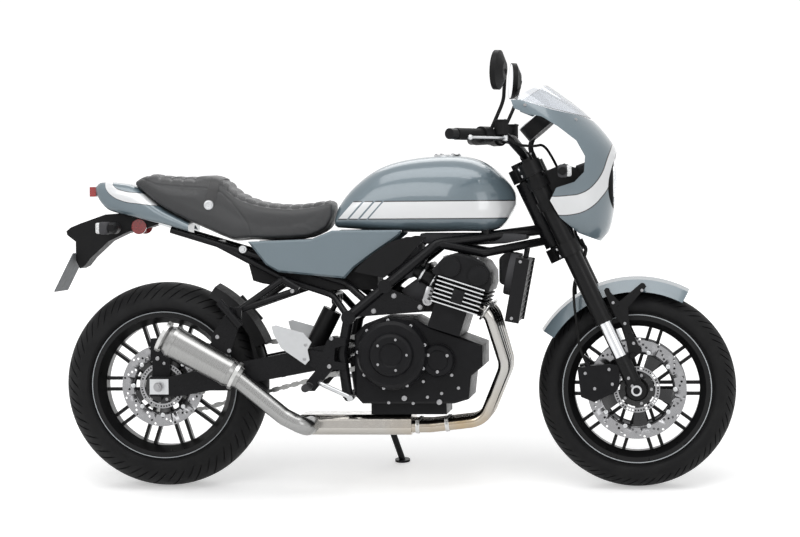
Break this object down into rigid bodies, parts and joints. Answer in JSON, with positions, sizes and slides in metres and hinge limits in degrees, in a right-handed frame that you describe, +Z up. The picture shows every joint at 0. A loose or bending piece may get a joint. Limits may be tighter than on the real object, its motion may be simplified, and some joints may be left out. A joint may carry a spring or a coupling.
{
  "type": "cafe racer motorcycle",
  "caption": "Cafe racer motorcycle with a small cowl, teardrop tank, stepped seat, finned engine and side muffler, leaning on its side stand.",
  "frame": {"origin": "on the floor, on the line of the tyres' contacts, below the middle of the wheelbase", "axes": "+X forward, +Y to the machine's left, the side to which it leans, +Z up"},
  "size_m": [2.0885, 0.8951, 1.3622],
  "materials": {
    "alloy": "brushed",
    "alloy_black": "black coated",
    "black_metal": "satin black coat",
    "black_plastic": "matt",
    "body_paint": "gloss blue grey",
    "clear": "clear",
    "leather": "grained",
    "mirror": "mirror",
    "plate_grey": "matt",
    "polished": "polished",
    "red_lens": "gloss red",
    "rubber": "matt",
    "steel": "brushed",
    "tank_paint": "gloss blue grey",
    "tyre": "matt"
  },
  "bodies": {
    "chassis": {"air_box": "black_plastic", "cam_cover": "alloy_black", "chain": "steel", "crankcase": "alloy_black", "cylinders": "alloy_black", "engine_covers": "alloy_black", "exhaust_manifold": "steel", "filler_cap": "alloy", "foot_controls": "alloy", "front_sprocket": "steel", "fuel_tank": "tank_paint", "main_frame": "black_metal", "muffler": "steel", "number_plate": "plate_grey", "peg_hangers": "alloy_black", "pillion_hangers": "alloy_black", "plate_holder": "black_plastic", "radiator": "alloy_black", "rear_axle": "alloy", "rear_caliper": "alloy_black", "rear_hugger": "black_plastic", "rear_indicators": "black_plastic", "rear_shock": "black_metal", "saddle": "leather", "side_covers": "body_paint", "side_reflectors": "red_lens", "side_scoops": "black_plastic", "swingarm": "alloy_black", "tail_cowl": "body_paint", "tail_lamp": "red_lens"},
    "steering": {"fork_tubes": "alloy_black", "fork_sliders": "polished", "fork_feet": "alloy_black", "mudguard_braces": "alloy_black", "fork_yokes": "alloy_black", "front_axle": "alloy", "front_mudguard": "body_paint", "front_calipers": "alloy_black", "handlebar": "alloy_black", "grips": "rubber", "control_sets": "black_plastic", "levers": "alloy", "mirrors": "black_plastic", "mirror_glasses": "mirror", "instruments": "black_plastic", "headlamp": "black_plastic", "headlamp_lens": "clear", "front_indicators": "black_plastic", "front_cowl": "body_paint", "screen": "clear", "brake_hoses": "rubber"},
    "front_wheel": {"front_wheel": "alloy_black", "front_tyre": "tyre", "front_discs": "steel"},
    "rear_wheel": {"rear_wheel": "alloy_black", "rear_tyre": "tyre", "rear_disc": "steel", "rear_sprocket": "steel"},
    "side_stand": {"side_stand": "black_metal"}
  },
  "joints": [
    {"name": "steering_turn", "type": "hinge", "parent": "chassis", "child": "steering", "pos_m": [0.68875, 0.04916, 0.28016], "axis": [-0.4226, 0.1574, 0.8925], "range_deg": [-35, 35]},
    {"name": "front_wheel_spin", "type": "hinge", "parent": "steering", "child": "front_wheel", "pos_m": [0.725, 0.05209, 0.29681], "axis": [0, 0.9848, -0.1736], "continuous": true},
    {"name": "rear_wheel_spin", "type": "hinge", "parent": "chassis", "child": "rear_wheel", "pos_m": [-0.725, 0.0548, 0.31217], "axis": [0, 0.9848, -0.1736], "continuous": true},
    {"name": "side_stand_fold", "type": "hinge", "parent": "chassis", "child": "side_stand", "pos_m": [-0.095, 0.2366, 0.24904], "axis": [0.0151, 0.9829, 0.1836], "range_deg": [0, 97.2]}
  ]
}
